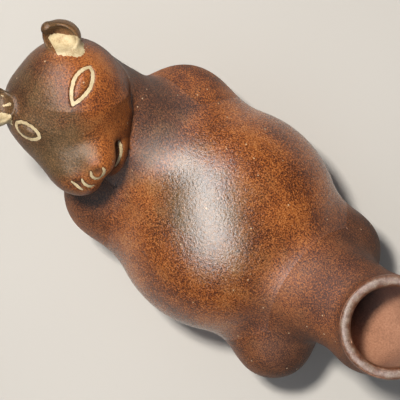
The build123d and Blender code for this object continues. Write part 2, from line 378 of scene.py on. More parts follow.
NOSTRIL_RIGHT = [(81.9, 180.2), (83.2, 182.8), (85.5, 185.3), (88.6, 186.6), (91.6, 187.1), (93.9, 186.1)]
NOSTRIL_FAR = [(71.7, 182.2), (74.3, 184.8), (76.8, 186.8), (79.9, 188.9), (82.4, 190.1)]
LIP = [(122.4, 141.5), (123.3, 145.5), (123.2, 150.0), (122.2, 155.5), (120.4, 161.0), (117.8, 167.0)]
NOSTRIL_PITS = [(97.6, 172.4), (78.6, 184.2)]


class Stroke:
    """A line on the skin, given half its width in millimetres and how much of it is lost at the ends."""
    DEPTH = 3.0
    REACH = 6.0
    TAPER_POWER = 2.5

    def __init__(self, pixels, half_width, taper):
        self.points = on_skin(pixels)
        self.normals = slope(bare_skin, self.points)
        share = np.linspace(0, 1, len(pixels))
        self.widths = half_width * (1 - taper * np.abs(2 * share - 1) ** self.TAPER_POWER)

    def distance(self, p):
        """Distance to the line's edge, negative inside it. Far from the line it is only large."""
        found = np.full(p.shape[:-1], self.REACH)
        low, high = self.points.min(0) - self.REACH, self.points.max(0) + self.REACH
        near = np.all((p > low) & (p < high), axis=-1)
        q = p[near]
        best = np.full(len(q), self.REACH)
        for i in range(len(self.points) - 1):
            start, step = self.points[i], self.points[i + 1] - self.points[i]
            share = np.clip((q - start) @ step / (step @ step), 0, 1)
            width = self.widths[i] + share * (self.widths[i + 1] - self.widths[i])
            away = q - start - share[:, None] * step
            depth = away @ unit(self.normals[i] + self.normals[i + 1])
            aside = np.sqrt(np.maximum((away * away).sum(1) - depth * depth, 0))
            best = np.where(np.abs(depth) < self.DEPTH, np.minimum(best, aside - width), best)
        found[near] = best
        return found


strokes = {
    "eye_line_left": [Stroke(EYE_LEFT, 0.98, 0.0)],
    "eye_line_right": [Stroke(EYE_RIGHT, 0.95, 0.0)],
    "nostril_line_left": [Stroke(NOSTRIL_LEFT, 0.85, 0.35)],
    "nostril_line_right": [Stroke(NOSTRIL_RIGHT, 0.8, 0.4), Stroke(NOSTRIL_FAR, 0.75, 0.4)],
    "lip_line": [Stroke(LIP, 1.0, 0.6)],
}
pits = on_skin(NOSTRIL_PITS)

GROOVE_DEPTH = 0.55
GROOVE_MARGIN = 0.45
GROOVE_EDGE = 0.35
EYE_BULGE = 1.0
EYE_END_MARGIN = 2.4
EYE_SIDE_MARGIN = 1.9
EYE_REACH = 20.0
PIT_DEPTH = 1.5
PIT_RADIUS = 2.3
SLIT_DEPTH = 4.0
SLIT_HALF_WIDTH = 1.3
SLIT_FADE = (-3.0, 2.0)
FACE_FADE = (6.0, 2.0)

# The head's lines lie past this distance before the axis and above this height.
HEAD_BOX_START = 50.0
HEAD_BOX_FLOOR = 95.0


def line_distance(p, name):
    return np.minimum.reduce([stroke.distance(p) for stroke in strokes[name]])


def eye_bulge(p, name):
    """Height of the eyeball inside an eye's outline."""
    outline = strokes[name][0].points[:-1]
    middle = outline.mean(0)
    lengthwise, across, _ = np.linalg.svd(outline - middle)[2]
    half_length = np.abs((outline - middle) @ lengthwise).max() - EYE_END_MARGIN
    half_width = np.abs((outline - middle) @ across).max() - EYE_SIDE_MARGIN
    u = (p - middle) @ lengthwise / half_length
    w = (p - middle) @ across / half_width
    near = np.linalg.norm(p - middle, axis=-1) < EYE_REACH
    return near * np.sqrt(np.clip(1 - u * u - w * w, 0, 1))


def in_head_box(p):
    return (p[..., 0] < axis[0] - HEAD_BOX_START) & (p[..., 2] > HEAD_BOX_FLOOR)


def mouth_line(p):
    """How far a point is to the muzzle's side of its border with the jaw, and how open the mouth is there."""
    side = (jaw_form(p) - muzzle_form(p)) / 2
    on_face = smooth_step(*FACE_FADE, head_form(p))
    return side, on_face * smooth_step(*SLIT_FADE, past_mouth_corner(p))


def skin(p):
    """The whole outside with the face cut in."""
    form = bare_skin(p)
    head = in_head_box(p)
    q = p[head]
    if len(q) == 0:
        return form
    relief = np.zeros(len(q))
    for name in strokes:
        aside = line_distance(q, name)
        relief += GROOVE_DEPTH * smooth_step(GROOVE_MARGIN + GROOVE_EDGE, GROOVE_MARGIN - GROOVE_EDGE, aside)
    for name in ("eye_line_left", "eye_line_right"):
        relief -= EYE_BULGE * eye_bulge(q, name)
    for pit in pits:
        relief += PIT_DEPTH * np.exp(-(np.linalg.norm(q - pit, axis=1) / PIT_RADIUS) ** 2)
    side, opened = mouth_line(q)
    relief += SLIT_DEPTH * opened * np.exp(-(side / SLIT_HALF_WIDTH) ** 2)
    form[head] += relief
    return form


LEAST_STEEPNESS = 0.3


def settle(p, rounds):
    """Moves points onto the skin."""
    for _ in range(rounds):
        way = slope(skin, p)
        p = p - (skin(p) / np.maximum((way * way).sum(-1), LEAST_STEEPNESS))[:, None] * way
    return p


# The field is sampled roughly in blocks of points, and finely in the blocks that lie near the skin.
BLOCK = 4
BLOCK_MARGIN = 4.0
GRID_BACKGROUND = 10.0
GRID_LOW_EDGE = 1.01
GRID_HIGH_EDGE = 2.01
MESH_ROUNDS = 3
CUT_ROUNDS = 2


def skin_mesh(low, high, step):
    """Triangles of the skin inside a box."""
    blocks = [math.ceil((high[i] - low[i]) / step / BLOCK) for i in range(3)]
    sides = [low[i] + step * np.arange(BLOCK * blocks[i]) for i in range(3)]
    places = np.stack(np.meshgrid(*sides, indexing="ij"), -1)
    middles = slice(BLOCK // 2, None, BLOCK)
    values = bare_skin(places[middles, middles, middles] - step / 2)
    for i in range(3):
        values = values.repeat(BLOCK, i)
    near = np.abs(values) < BLOCK * step + BLOCK_MARGIN
    values[near] = skin(places[near])
    grid = openvdb.FloatGrid(GRID_BACKGROUND)
    grid.copyFromArray(values.astype(np.float32))
    points, quads = grid.convertToQuads(0.0)
    highest = np.array(values.shape) - GRID_HIGH_EDGE
    inside = np.all((points > GRID_LOW_EDGE) & (points < highest), axis=1)
    quads = quads[inside[quads].all(1)].astype(int)
    origin = vec(*[side[0] for side in sides])
    triangles = np.concatenate([quads[:, [0, 1, 2]], quads[:, [0, 2, 3]]])
    return settle(points.astype(float) * step + origin, MESH_ROUNDS), triangles


def tidy(points, triangles):
    """Drops triangles with a repeated corner and points that nothing uses."""
    a, b, c = triangles.T
    triangles = triangles[(a != b) & (b != c) & (c != a)]
    used, places = np.unique(triangles, return_inverse=True)
    return points[used], places.reshape(-1, 3)


SNAP_SHARE = 0.25


def keep_where(points, triangles, region, step):
    """Keeps the part of a mesh where the region's field is negative, and cuts the triangles on its edge."""
    value = region(points)
    way = slope(region, points)
    steep = np.maximum((way * way).sum(-1), STEEP_GUARD)
    close = np.abs(value) < SNAP_SHARE * step * np.sqrt(steep)
    points = points - np.where(close, value / steep, 0)[:, None] * way
    value[close] = 0
    kept = value <= 0
    count = kept[triangles].sum(1)
    pieces = [triangles[count == 3]]
    fresh = []
    edge_ids = {}

    def crossing(inner, outer):
        """The point where an edge leaves the region: its inner end if that lies on the border."""
        if value[inner] == 0:
            return inner
        key = (inner, outer)
        if key not in edge_ids:
            share = value[inner] / (value[inner] - value[outer])
            edge_ids[key] = len(points) + len(fresh)
            fresh.append(points[inner] + share * (points[outer] - points[inner]))
        return edge_ids[key]

    cut = []
    for corners in triangles[(count == 1) | (count == 2)]:
        first = next(i for i in range(3) if kept[corners[i]] != kept[corners[i - 1]] == kept[corners[i - 2]])
        a, b, c = (corners[(first + i) % 3] for i in range(3))
        if kept[a]:
            cut.append((a, crossing(a, b), crossing(a, c)))
        else:
            ab, ac = crossing(b, a), crossing(c, a)
            cut.append((ab, b, c))
            cut.append((ab, c, ac))
    if cut:
        pieces.append(np.array(cut))
        if fresh:
            points = np.concatenate([points, fresh])
    return tidy(points, np.concatenate(pieces))


def largest_part(points, triangles):
    """The connected part with the most triangles."""
    label = np.arange(len(points))
    while True:
        lowest = label[triangles].min(1)
        fresh = label.copy()
        np.minimum.at(fresh, triangles.ravel(), np.repeat(lowest, 3))
        fresh = fresh[fresh]
        if np.array_equal(fresh, label):
            break
        label = fresh
    names, counts = np.unique(label[triangles[:, 0]], return_counts=True)
    return tidy(points, triangles[label[triangles[:, 0]] == names[counts.argmax()]])


def border_edges(triangles):
    """Directed edges that only one triangle has."""
    edges = np.concatenate([triangles[:, [0, 1]], triangles[:, [1, 2]], triangles[:, [2, 0]]])
    span = triangles.max() + 1
    alone = ~np.isin(edges[:, 0] * span + edges[:, 1], edges[:, 1] * span + edges[:, 0])
    return edges[alone]


def make_object(name, points, triangles, corner_normals, material_index, materials, attributes=None):
    mesh = bpy.data.meshes.new(name)
    mesh.vertices.add(len(points))
    mesh.vertices.foreach_set("co", (points * MM).astype(np.float32).ravel())
    mesh.loops.add(triangles.size)
    mesh.loops.foreach_set("vertex_index", triangles.astype(np.int32).ravel())
    mesh.polygons.add(len(triangles))
    mesh.polygons.foreach_set("loop_start", np.arange(0, triangles.size, 3, dtype=np.int32))
    mesh.polygons.foreach_set("material_index", material_index.astype(np.int32))
    mesh.update(calc_edges=True)
    mesh.polygons.foreach_set("use_smooth", np.ones(len(triangles), bool))
    for key, values in (attributes or {}).items():
        mesh.attributes.new(key, "FLOAT", "POINT").data.foreach_set("value", values.astype(np.float32))
    for material in materials:
        mesh.materials.append(material)
    mesh.normals_split_custom_set(corner_normals.reshape(-1, 3))
    made = bpy.data.objects.new(name, mesh)
    bpy.context.scene.collection.objects.link(made)
    return made


def face_normals(points, triangles):
    a, b, c = (points[triangles[:, i]] for i in range(3))
    return unit_rows(np.cross(b - a, c - a))


def point_normals(points, triangles):
    flat = face_normals(points, triangles)
    normals = np.zeros_like(points)
    for k in range(3):
        np.add.at(normals, triangles[:, k], flat)
    return unit_rows(normals)


def shell(name, points, triangles, outward, inward, materials, tone):
    """A closed piece between two layers of a patch of skin, offset along the skin's normals."""
    normals = unit_rows(slope(skin, points))
    count = len(points)
    start, end = border_edges(triangles).T
    first_half = np.stack([end, start, start + count], 1)
    second_half = np.stack([end, start + count, end + count], 1)
    side = np.concatenate([first_half, second_half])
    layers = np.concatenate([points + outward * normals, points - inward * normals])
    faces = np.concatenate([triangles, triangles[:, ::-1] + count, side])
    corner_normals = np.concatenate([
        normals[triangles],
        -normals[triangles[:, ::-1]],
        np.repeat(face_normals(layers, side)[:, None], 3, axis=1),
    ])
    index = np.repeat([0, 1, 1], [len(triangles), len(triangles), len(side)])
    attributes = {key: np.tile(values, 2) for key, values in tone(points).items()}
    return make_object(name, layers, faces, corner_normals, index, materials, attributes)


# Which stretch of the skin each piece has
def others_than(p, name):
    """Negative where the skin of the trunk is nearest to the named form."""
    forms = {"globe": globe_form(p), "neck": neck_form(p), "spout": spout_form(p)}
    forms.update({leg: leg_form(p, leg) for leg in LEGS})
    own = forms.pop(name)
    return np.maximum(own - np.minimum.reduce(list(forms.values())), trunk_form(p) - head_form(p))


def head_side(p):
    """Negative on the head without its ears and jaw."""
    ears = np.minimum(ear_form(p, 1), ear_form(p, -1))
    return np.maximum(head_form(p) - trunk_form(p), muzzle_form(p) - np.minimum(jaw_form(p), ears))


def jaw_side(p):
    return np.maximum(head_form(p) - trunk_form(p), jaw_form(p) - muzzle_form(p))


def ear_side(p, side):
    return ear_form(p, side) - muzzle_form(p)


# Tones of the clay, with painted shade under the muzzle and in the face's cuts. A fade is a pair of lengths,
# from where a tone is none to where it is full.
LEG_DUSK = {"leg_front_left": 0.2, "leg_rear_right": 0.5, "leg_rear_left": 0.4}
LEG_FADE = (-14.0, 14.0)
NECK_DUSK = 0.9
NECK_FADE = (-9.0, 13.0)
NECK_UNPOLISHED_FADE = (-14.0, 8.0)
SPOUT_DUSK = 0.55
SPOUT_FADE = (-24.0, 8.0)
# Painted shade: how dark the spot round the muzzle's end is, standing in for the muzzle's shadow on the
# shoulder, and how far it reaches
MUZZLE_PAINTED_SHADE = 0.9
CHIN_REACH = 24.0
HEAD_DUSK = 0.15
HEAD_FADE = (-8.0, 6.0)
CROWN_DUSK = 0.45
CROWN_FADE = (26.0, 52.0)
CROWN_SIDE_FADE = (24.0, -8.0)
RIGHT_SMOKE = 0.6
RIGHT_FADE = (28.0, -12.0)
BRIDGE_SMOKE = 0.5
BRIDGE_LEFT, BRIDGE_HALF_WIDTH = 1.0, 18.0
BRIDGE_BACK, BRIDGE_HALF_LENGTH = 21.0, 19.0
TIP_CLEARING = 0.5
TIP_FADE = (12.0, 3.0)
EAR_SMOKE = 0.75
EAR_FADE = (-4.0, 1.0)
SPINE_SMOKE = 0.95
SPINE_MIDDLE = at(-14, -5, 0)
SPINE_ALONG, SPINE_HALF_LENGTH = vec(0.96, -0.267, 0), 48.0
SPINE_ACROSS, SPINE_HALF_WIDTH = vec(0.267, 0.96, 0), 27.0
# Dirt and painted shade along the edges of the cut lines and in the mouth slit, where the cuts' shadow falls
LINE_DIRT_AND_SHADE = 0.6
LINE_DIRT_AND_SHADE_FADE = (0.9, 0.2)
SLIT_DIRT_AND_SHADE_SPREAD = 1.3


def spot(a, b):
    """A soft spot, given places as shares of its half lengths: 1 in its middle and fading outwards."""
    return np.exp(-a ** 2 - b ** 2)


def dirt_and_shade_in_cuts(p):
    """Dirt in the cut lines, the pits and the mouth, together with painted shade there: the dark edges of the
    lines, the dark pits and the dark slit stand in for their shadow.
    """
    dirt_and_shade = np.zeros(len(p))
    near_head = in_head_box(p)
    q = p[near_head]
    if len(q) == 0:
        return dirt_and_shade
    for name in strokes:
        dirt_and_shade[near_head] += LINE_DIRT_AND_SHADE * smooth_step(*LINE_DIRT_AND_SHADE_FADE, np.abs(line_distance(q, name)))
    for pit in pits:
        dirt_and_shade[near_head] += np.exp(-(np.linalg.norm(q - pit, axis=1) / PIT_RADIUS) ** 2)
    side, opened = mouth_line(q)
    dirt_and_shade[near_head] += opened * np.exp(-(side / (SLIT_DIRT_AND_SHADE_SPREAD * SLIT_HALF_WIDTH)) ** 2)
    return np.clip(dirt_and_shade, 0, 1)


def clay_tone(p):
    """How smoked, darkened and unpolished the clay is at each point, and where dirt lies. The darkening holds
    painted shade under the muzzle, and the dirt holds painted shade in the face's cuts.
    """
    globe = globe_form(p)
    dusk_and_shade = np.zeros(len(p))
    for name, weight in LEG_DUSK.items():
        dusk_and_shade += weight * smooth_step(*LEG_FADE, globe - leg_form(p, name))
    on_neck = smooth_step(*NECK_FADE, np.minimum(globe, leg_form(p, "leg_front_right")) - neck_form(p))
    on_spout = smooth_step(*SPOUT_FADE, globe - spout_form(p))
    under_muzzle = np.exp(-(np.linalg.norm((p - muzzle_end)[:, :2], axis=1) / CHIN_REACH) ** 2)
    # The spot round the muzzle's end is painted shade, the muzzle's shadow on the shoulder
    dusk_and_shade += NECK_DUSK * on_neck + SPOUT_DUSK * on_spout + MUZZLE_PAINTED_SHADE * under_muzzle
    rough_neck = smooth_step(*NECK_UNPOLISHED_FADE, globe - neck_form(p))
    unpolished = np.maximum.reduce([rough_neck, on_spout, under_muzzle])

    ears = np.minimum(ear_form(p, 1), ear_form(p, -1))
    head = np.minimum.reduce([muzzle_form(p), jaw_form(p), ears])
    on_head = smooth_step(*HEAD_FADE, trunk_form(p) - head)
    from_end = p - muzzle_end
    to_left, back = from_end @ own_left, -(from_end @ face_way)
    bridge = spot((to_left - BRIDGE_LEFT) / BRIDGE_HALF_WIDTH, (back - BRIDGE_BACK) / BRIDGE_HALF_LENGTH)
    smoke = RIGHT_SMOKE * smooth_step(*RIGHT_FADE, to_left) + BRIDGE_SMOKE * bridge
    smoke = on_head * smoke * (1 - TIP_CLEARING * smooth_step(*TIP_FADE, back))
    smoke = np.maximum(smoke, EAR_SMOKE * smooth_step(*EAR_FADE, muzzle_form(p) - ears))
    crown = smooth_step(*CROWN_FADE, back) * smooth_step(*CROWN_SIDE_FADE, to_left)
    dusk_and_shade = np.clip(dusk_and_shade, 0, 1) * (1 - on_head) + (HEAD_DUSK + CROWN_DUSK * crown) * on_head
    from_spine = p - SPINE_MIDDLE
    along_spine = (from_spine @ SPINE_ALONG) / SPINE_HALF_LENGTH
    across_spine = (from_spine @ SPINE_ACROSS) / SPINE_HALF_WIDTH
    spine = spot(along_spine, across_spine)
    smoke = smoke + SPINE_SMOKE * spine * (1 - on_head)
    return {
        "smoke": smoke,
        "dusk_and_shade": np.clip(dusk_and_shade, 0, 1),
        "unpolished": unpolished * (1 - on_head),
        "dirt_and_shade": dirt_and_shade_in_cuts(p),
    }


def no_tone(p):
    return {}


# Materials
def add_node(tree, kind, inputs=None, **settings):
    made = tree.nodes.new("ShaderNode" + kind)
    for key, value in settings.items():
        setattr(made, key, value)
    for key, value in (inputs or {}).items():
        if isinstance(value, bpy.types.NodeSocket):
            tree.links.new(value, made.inputs[key])
        else:
            made.inputs[key].default_value = value
    return made


def noise(tree, place, scale, detail, roughness):
    inputs = {"Vector": place, "Scale": scale, "Detail": detail, "Roughness": roughness}
    return add_node(tree, "TexNoise", inputs).outputs["Fac"]


def math_node(tree, operation, *values, clamp=False):
    made = add_node(tree, "Math", dict(enumerate(values)), operation=operation, use_clamp=clamp)
    return made.outputs[0]


def ramp(tree, factor, stops):
    made = add_node(tree, "ValToRGB", {"Fac": factor})
    elements = made.color_ramp.elements
    while len(elements) < len(stops):
        elements.new(0.5)
    for element, (position, colour) in zip(elements, stops):
        element.position = position
        element.color = (*colour, 1.0)
    return made.outputs["Color"]


def mask(tree, value, low, high):
    """0 below low, 1 above high."""
    inputs = {"Value": value, "From Min": low, "From Max": high}
    return add_node(tree, "MapRange", inputs, interpolation_type="SMOOTHSTEP").outputs["Result"]


# Sockets of the Mix node that carry colours
MIX_COLOUR_A, MIX_COLOUR_B, MIX_COLOUR_RESULT = 6, 7, 2


def mix(tree, factor, a, b):
    made = add_node(tree, "Mix", {0: factor, MIX_COLOUR_A: a, MIX_COLOUR_B: b}, data_type="RGBA")
    return made.outputs[MIX_COLOUR_RESULT]


def attribute(tree, name):
    return add_node(tree, "Attribute", attribute_name=name).outputs["Fac"]


def start_material(name, roughness):
    material = bpy.data.materials.new(name)
    material.use_nodes = True
    tree = material.node_tree
    shader = tree.nodes["Principled BSDF"]
    shader.inputs["Roughness"].default_value = roughness
    place = add_node(tree, "TexCoord").outputs["Object"]
    return material, tree, shader, place


def add_bump(tree, shader, height, strength, distance):
    bump = add_node(tree, "Bump", {"Height": height, "Strength": strength, "Distance": distance})
    tree.links.new(bump.outputs["Normal"], shader.inputs["Normal"])


# How strongly each noise works on the slip's tint, roughness and relief
CLOUD_DRIFT = 0.52
PATCH_DRIFT = 0.34
GRAIN_TINT = 0.16
TINT_MIDDLE = 0.42
TONE_UNEVENNESS = 0.9
FLECK_ROUGHNESS = 0.24
RUBBING_ROUGHNESS = 0.2
UNPOLISHED_ROUGHNESS = 0.35
DIRT_AND_SHADE_ROUGHNESS = 0.35
FLECK_RELIEF = 0.65
GRAIN_RELIEF = 0.08
RUBBING_RELIEF = 1.3
GRIT_COLOUR = (0.56, 0.40, 0.25, 1)
# Near black for the dirt and the painted shade in the face's cuts
DIRT_AND_SHADE_COLOUR = (0.022, 0.012, 0.007, 1)
DIRT_AND_SHADE_COVER = 0.8


def slip_material(name, speckle, dullness, specular):
    """Burnished iron slip with mineral speckle. It is browner where the clay is darkened, which includes
    painted shade under the muzzle. It is olive where smoked, and near black with dirt and painted shade in
    the face's cuts.
    """
    material, tree, shader, place = start_material(name, 0.5)
    shader.inputs["Specular IOR Level"].default_value = specular
    clouds = noise(tree, place, scale=24.0, detail=3.0, roughness=0.55)
    patches = noise(tree, place, scale=75.0, detail=3.0, roughness=0.6)
    flecks = noise(tree, place, scale=1200.0, detail=2.0, roughness=0.65)
    grain = noise(tree, place, scale=1900.0, detail=1.0, roughness=0.5)
    strokes_of_rubbing = noise(tree, place, scale=560.0, detail=3.0, roughness=0.6)
    smoke, dusk_and_shade, unpolished, dirt_and_shade = (attribute(tree, key) for key in ("smoke", "dusk_and_shade", "unpolished", "dirt_and_shade"))

    drift = math_node(tree, "MULTIPLY_ADD", clouds, CLOUD_DRIFT, -CLOUD_DRIFT / 2)
    drift = math_node(tree, "MULTIPLY_ADD", patches, PATCH_DRIFT, drift)
    drift = math_node(tree, "SUBTRACT", drift, PATCH_DRIFT / 2)
    tint = math_node(tree, "MULTIPLY_ADD", flecks, speckle, drift)
    tint = math_node(tree, "MULTIPLY_ADD", grain, GRAIN_TINT, tint)
    tint = math_node(tree, "ADD", tint, TINT_MIDDLE - speckle / 2)
    red = ramp(tree, tint, [
        (0.30, (0.050, 0.016, 0.009)), (0.43, (0.135, 0.040, 0.014)), (0.52, (0.290, 0.084, 0.020)),
        (0.62, (0.420, 0.140, 0.034)), (0.76, (0.500, 0.210, 0.066))])
    brown = ramp(tree, tint, [
        (0.30, (0.028, 0.011, 0.006)), (0.46, (0.076, 0.027, 0.012)), (0.58, (0.145, 0.050, 0.019)),
        (0.74, (0.235, 0.090, 0.034))])
    olive = ramp(tree, tint, [
        (0.28, (0.036, 0.024, 0.012)), (0.46, (0.092, 0.058, 0.028)), (0.60, (0.165, 0.094, 0.044)),
        (0.76, (0.280, 0.140, 0.060))])
    uneven = math_node(tree, "MULTIPLY_ADD", patches, TONE_UNEVENNESS, -TONE_UNEVENNESS / 2)
    # Brown mask: darker clay, and painted shade under the muzzle
    darkened = mask(tree, math_node(tree, "ADD", dusk_and_shade, uneven), 0.0, 1.0)
    smoked = mask(tree, math_node(tree, "ADD", smoke, uneven), 0.05, 0.95)
    colour = mix(tree, darkened, red, brown)
    colour = mix(tree, smoked, colour, olive)
    grit = add_node(tree, "TexVoronoi", {"Vector": place, "Scale": 115.0}).outputs["Distance"]
    colour = mix(tree, mask(tree, grit, 0.070, 0.040), colour, GRIT_COLOUR)
    # Dirt and painted shade in the cuts darken the colour here
    colour = mix(tree, math_node(tree, "MULTIPLY", dirt_and_shade, DIRT_AND_SHADE_COVER), colour, DIRT_AND_SHADE_COLOUR)
    tree.links.new(colour, shader.inputs["Base Color"])
    roughness = math_node(tree, "MULTIPLY_ADD", flecks, FLECK_ROUGHNESS, dullness)
    roughness = math_node(tree, "MULTIPLY_ADD", strokes_of_rubbing, RUBBING_ROUGHNESS, roughness)
    roughness = math_node(tree, "MULTIPLY_ADD", unpolished, UNPOLISHED_ROUGHNESS, roughness)
    roughness = math_node(tree, "MULTIPLY_ADD", dirt_and_shade, DIRT_AND_SHADE_ROUGHNESS, roughness, clamp=True)
    tree.links.new(roughness, shader.inputs["Roughness"])
    relief = math_node(tree, "MULTIPLY", grain, GRAIN_RELIEF)
    relief = math_node(tree, "MULTIPLY_ADD", flecks, FLECK_RELIEF, relief)
    relief = math_node(tree, "MULTIPLY_ADD", strokes_of_rubbing, RUBBING_RELIEF, relief)
    add_bump(tree, shader, relief, strength=0.5, distance=0.0004)
    return material


def bare_clay_material():
    """Unslipped clay of the inside: matte, pinkish and sandy."""
    material, tree, shader, place = start_material("bare_clay", 0.85)
    patches = noise(tree, place, scale=60.0, detail=3.0, roughness=0.6)
    sand = noise(tree, place, scale=900.0, detail=2.0, roughness=0.7)
    tint = math_node(tree, "MULTIPLY_ADD", patches, 0.5, math_node(tree, "MULTIPLY_ADD", sand, 0.6, -0.05))
    colour = ramp(tree, tint, [
        (0.28, (0.210, 0.103, 0.062)), (0.50, (0.350, 0.175, 0.107)), (0.75, (0.460, 0.247, 0.156))])
    tree.links.new(colour, shader.inputs["Base Color"])
    add_bump(tree, shader, sand, strength=0.5, distance=0.0005)
    return material


# Metres above the lip's seat where the slip begins to be rubbed through and where it is gone
RUBBED_FROM = 0.0076
RUBBED_TO = 0.0104


def worn_lip_material():
    """Slip rubbed through to pale clay on the crest of the lip."""
    material, tree, shader, place = start_material("worn_lip", 0.55)
    height = add_node(tree, "SeparateXYZ", {"Vector": place}).outputs["Z"]
    chips = noise(tree, place, scale=260.0, detail=4.0, roughness=0.65)
    grain = noise(tree, place, scale=1100.0, detail=2.0, roughness=0.6)
    slip = ramp(tree, math_node(tree, "MULTIPLY_ADD", grain, 0.5, math_node(tree, "MULTIPLY", chips, 0.5)), [
        (0.32, (0.040, 0.015, 0.010)), (0.50, (0.150, 0.052, 0.022)), (0.70, (0.320, 0.115, 0.042))])
    worn = ramp(tree, math_node(tree, "MULTIPLY_ADD", grain, 0.6, math_node(tree, "MULTIPLY", chips, 0.4)), [
        (0.30, (0.080, 0.044, 0.030)), (0.50, (0.165, 0.108, 0.078)), (0.72, (0.280, 0.205, 0.158))])
    rubbed = math_node(tree, "MULTIPLY_ADD", chips, 0.006, height)
    rubbed = mask(tree, rubbed, LIP_SEAT * MM + RUBBED_FROM, LIP_SEAT * MM + RUBBED_TO)
    tree.links.new(mix(tree, rubbed, slip, worn), shader.inputs["Base Color"])
    tree.links.new(math_node(tree, "MULTIPLY_ADD", chips, 0.25, 0.3), shader.inputs["Roughness"])
    add_bump(tree, shader, math_node(tree, "ADD", chips, grain), strength=0.4, distance=0.0006)
    return material


def cream_material():
    """Cream slip rubbed into the cut lines, thin and stained in places."""
    material, tree, shader, place = start_material("cream_slip", 0.7)
    stain = noise(tree, place, scale=190.0, detail=4.0, roughness=0.65)
    grain = noise(tree, place, scale=1300.0, detail=2.0, roughness=0.6)
    tint = math_node(tree, "MULTIPLY_ADD", grain, 0.35, math_node(tree, "MULTIPLY", stain, 0.65))
    colour = ramp(tree, tint, [
        (0.30, (0.270, 0.165, 0.080)), (0.40, (0.440, 0.330, 0.180)), (0.52, (0.580, 0.480, 0.290)),
        (0.75, (0.660, 0.570, 0.380))])
    tree.links.new(colour, shader.inputs["Base Color"])
    add_bump(tree, shader, math_node(tree, "ADD", stain, grain), strength=0.4, distance=0.0004)
    return material


def floor_material():
    material, tree, shader, place = start_material("pale_floor", 0.75)
    shade = noise(tree, place, scale=3.0, detail=2.0, roughness=0.5)
    colour = ramp(tree, shade, [(0.3, (0.50, 0.49, 0.475)), (0.7, (0.54, 0.53, 0.515))])
    tree.links.new(colour, shader.inputs["Base Color"])
    return material


burnished = slip_material("burnished_slip", speckle=1.15, dullness=0.03, specular=0.6)
dull = slip_material("dull_slip", speckle=1.15, dullness=0.10, specular=0.3)
smoked = slip_material("smoked_slip", speckle=0.85, dullness=0.20, specular=0.22)
bare_clay = bare_clay_material()
worn_lip = worn_lip_material()
cream = cream_material()


def place_piece(piece, slot, *nodes):
    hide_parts(*nodes)
    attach(piece, "root")


def node_box(*nodes):
    """Lowest and highest corner of some nodes, in millimetres."""
    corners = np.array([[np.array(corner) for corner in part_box(node)] for node in nodes]) / MM
    return corners[:, 0].min(0), corners[:, 1].max(0)


# How far past its solid's box a piece's skin is looked for
CLAY_MARGIN = 14.0
LINE_MARGIN = 3.0
LINING_MARGIN = 10.0


def clay_piece(node, regions, step, wall, material, slot):
    """The stretch of skin inside the regions, as thick as its wall."""
    low, high = node_box(node)
    points, triangles = skin_mesh(low - CLAY_MARGIN, high + CLAY_MARGIN, step)
    for region in regions:
        points, triangles = keep_where(points, triangles, region, step)
    points, triangles = largest_part(points, triangles)
    points = settle(points, CUT_ROUNDS)
    piece = shell(node + "_clay", points, triangles, 0.0, wall, [material, bare_clay], clay_tone)
    place_piece(piece, slot, node)


def globe_region(p):
    return others_than(p, "globe")


def above_seam(p):
    return SEAM_HEIGHT - p[..., 2]


def below_seam(p):
    return p[..., 2] - SEAM_HEIGHT


def below_lip(p):
    """Negative under the lip's seat, and beside the lip where the spout's back reaches higher."""
    from_mouth = np.linalg.norm(p[..., :2] - mouth[:2], axis=-1)
    beside = np.maximum(LIP_RADIUS - LIP_LAP - from_mouth, p[..., 2] - MOUTH_HEIGHT + LIP_STAND)
    return np.minimum(p[..., 2] - LIP_SEAT, beside)


clay_piece("back_dome", [globe_region, above_seam], BODY_STEP, WALL, burnished, "burnished_slip")
clay_piece("belly_bowl", [globe_region, below_seam], BODY_STEP, WALL, burnished, "burnished_slip")
for leg in LEGS:
    clay_piece(leg, [lambda p: others_than(p, leg)], BODY_STEP, WALL, dull, "burnished_slip")
clay_piece("neck", [lambda p: others_than(p, "neck")], BODY_STEP, WALL, burnished, "burnished_slip")
clay_piece("spout_tube", [lambda p: others_than(p, "spout"), below_lip],
           BODY_STEP, SPOUT_WALL, dull, "burnished_slip")
clay_piece("head", [head_side], HEAD_STEP, WALL, smoked, "smoked_slip")
clay_piece("lower_jaw", [jaw_side], HEAD_STEP, WALL, smoked, "smoked_slip")
clay_piece("ear_left", [lambda p: ear_side(p, 1)], HEAD_STEP, THIN_WALL, smoked, "smoked_slip")
clay_piece("ear_right", [lambda p: ear_side(p, -1)], HEAD_STEP, THIN_WALL, smoked, "smoked_slip")

# Cream slip lies on the skin as a thin layer with a wavering edge.
SLIP_TOP = 0.28
SLIP_BOTTOM = -0.02
LINE_WAVER = 0.14
LINING_WAVER = 0.5
LINING_RIPPLE = 0.35


def paint_piece(node, region, low, high):
    points, triangles = skin_mesh(low, high, PAINT_STEP)
    points, triangles = keep_where(points, triangles, region, PAINT_STEP)
    points = settle(points, CUT_ROUNDS)
    piece = shell(node + "_slip", points, triangles, SLIP_TOP, SLIP_BOTTOM, [cream, cream], no_tone)
    place_piece(piece, "cream_slip", node)


for line in strokes:
    reached = np.concatenate([stroke.points for stroke in strokes[line]])

    def line_region(p):
        return line_distance(p, line) + LINE_WAVER * waves(p, seed=11, length=2.6)

    paint_piece(line, line_region, reached.min(0) - LINE_MARGIN, reached.max(0) + LINE_MARGIN)

